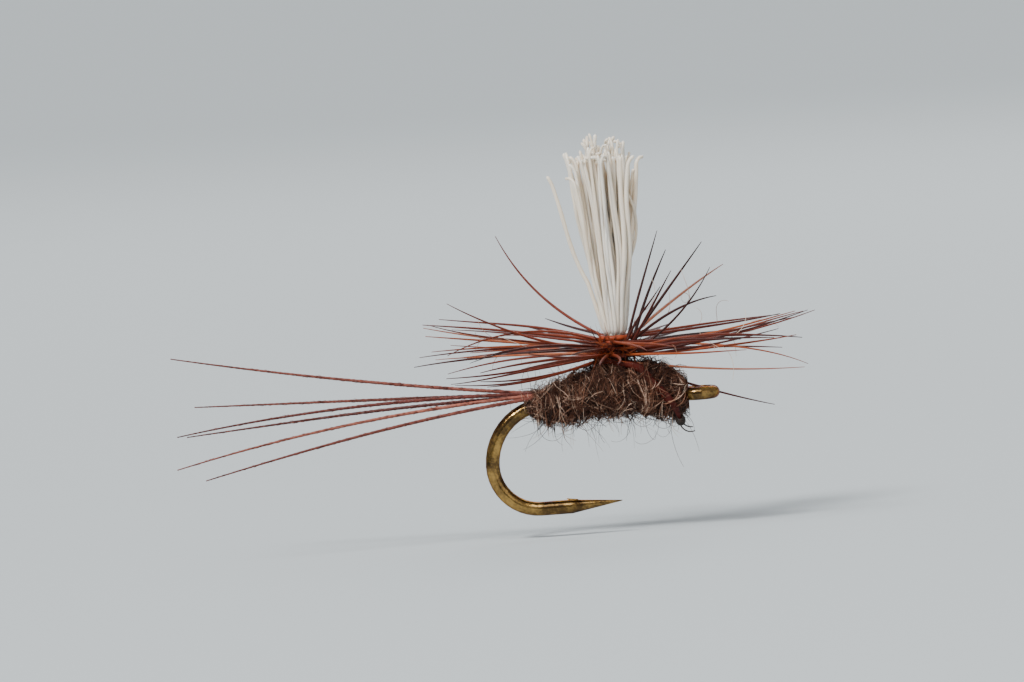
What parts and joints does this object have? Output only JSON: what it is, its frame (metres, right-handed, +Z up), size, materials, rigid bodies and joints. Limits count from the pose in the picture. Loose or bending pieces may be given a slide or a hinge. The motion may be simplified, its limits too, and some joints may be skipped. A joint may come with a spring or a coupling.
{
  "type": "parachute dry fly",
  "caption": "Small parachute dry fly for fishing: upright yarn wing post, level hackle wound round it, fur body and split fibre tail on a bronze hook.",
  "frame": {"origin": "middle of the hole through the hook's eye", "axes": "+X along the shank and out past the eye, +Z up along the wing post, +Y to the fly's left; the hook's plane is Y = 0"},
  "size_m": [0.0167, 0.01, 0.0099],
  "materials": {
    "hook_bronze": "bronze lacquer, glossy",
    "tying_thread": "waxed nylon thread",
    "tail_hackle": "glossy natural feather fibre",
    "hackle_feather": "glossy natural feather fibre",
    "post_yarn": "translucent polypropylene yarn",
    "fur_dubbing": "spun fur",
    "guard_hair": "natural hair"
  },
  "bodies": {
    "fly_body": {"hook": "hook_bronze", "thread_base": "tying_thread", "tail_butts": "tail_hackle", "tail_lashing": "tying_thread", "wing_post_butts": "post_yarn", "post_foot_lashing": "tying_thread", "post_collar": "tying_thread", "hackle_stem": "hackle_feather", "stem_tie_off": "tying_thread", "thread_tags": "tying_thread", "abdomen_dubbing": "fur_dubbing", "thorax_dubbing": "fur_dubbing", "abdomen_guard_hairs": "guard_hair", "thorax_guard_hairs": "guard_hair", "head_whip_finish": "tying_thread"},
    "tail": {"tail_fibre_1": "tail_hackle", "tail_fibre_2": "tail_hackle", "tail_fibre_3": "tail_hackle", "tail_fibre_4": "tail_hackle", "tail_fibre_5": "tail_hackle", "tail_fibre_6": "tail_hackle"},
    "wing_post": {"wing_post": "post_yarn"},
    "hackle_front": {"hackle_barbs_front": "hackle_feather"},
    "hackle_left": {"hackle_barbs_left": "hackle_feather"},
    "hackle_rear": {"hackle_barbs_rear": "hackle_feather"},
    "hackle_right": {"hackle_barbs_right": "hackle_feather"}
  },
  "joints": [
    {"name": "tail_flex", "type": "hinge", "parent": "fly_body", "child": "tail", "pos_m": [-0.00446, 0, 0.00028], "axis": [0, 1, 0], "range_deg": [-20, 20], "stiffness_Nm_per_rad": 0.0000005},
    {"name": "wing_post_lean", "type": "hinge", "parent": "fly_body", "child": "wing_post", "pos_m": [-0.00207, 0, 0.00172], "axis": [0, 1, 0], "range_deg": [-25, 25], "stiffness_Nm_per_rad": 0.000002},
    {"name": "hackle_front_flex", "type": "hinge", "parent": "fly_body", "child": "hackle_front", "pos_m": [-0.00161, 0, 0.00128], "axis": [0, -1, 0], "range_deg": [-15, 15], "stiffness_Nm_per_rad": 0.0000005},
    {"name": "hackle_left_flex", "type": "hinge", "parent": "fly_body", "child": "hackle_left", "pos_m": [-0.00207, 0.00046, 0.00128], "axis": [1, 0, 0], "range_deg": [-15, 15], "stiffness_Nm_per_rad": 0.0000005},
    {"name": "hackle_rear_flex", "type": "hinge", "parent": "fly_body", "child": "hackle_rear", "pos_m": [-0.00253, 0, 0.00128], "axis": [0, 1, 0], "range_deg": [-15, 15], "stiffness_Nm_per_rad": 0.0000005},
    {"name": "hackle_right_flex", "type": "hinge", "parent": "fly_body", "child": "hackle_right", "pos_m": [-0.00207, -0.00046, 0.00128], "axis": [-1, 0, 0], "range_deg": [-15, 15], "stiffness_Nm_per_rad": 0.0000005}
  ]
}
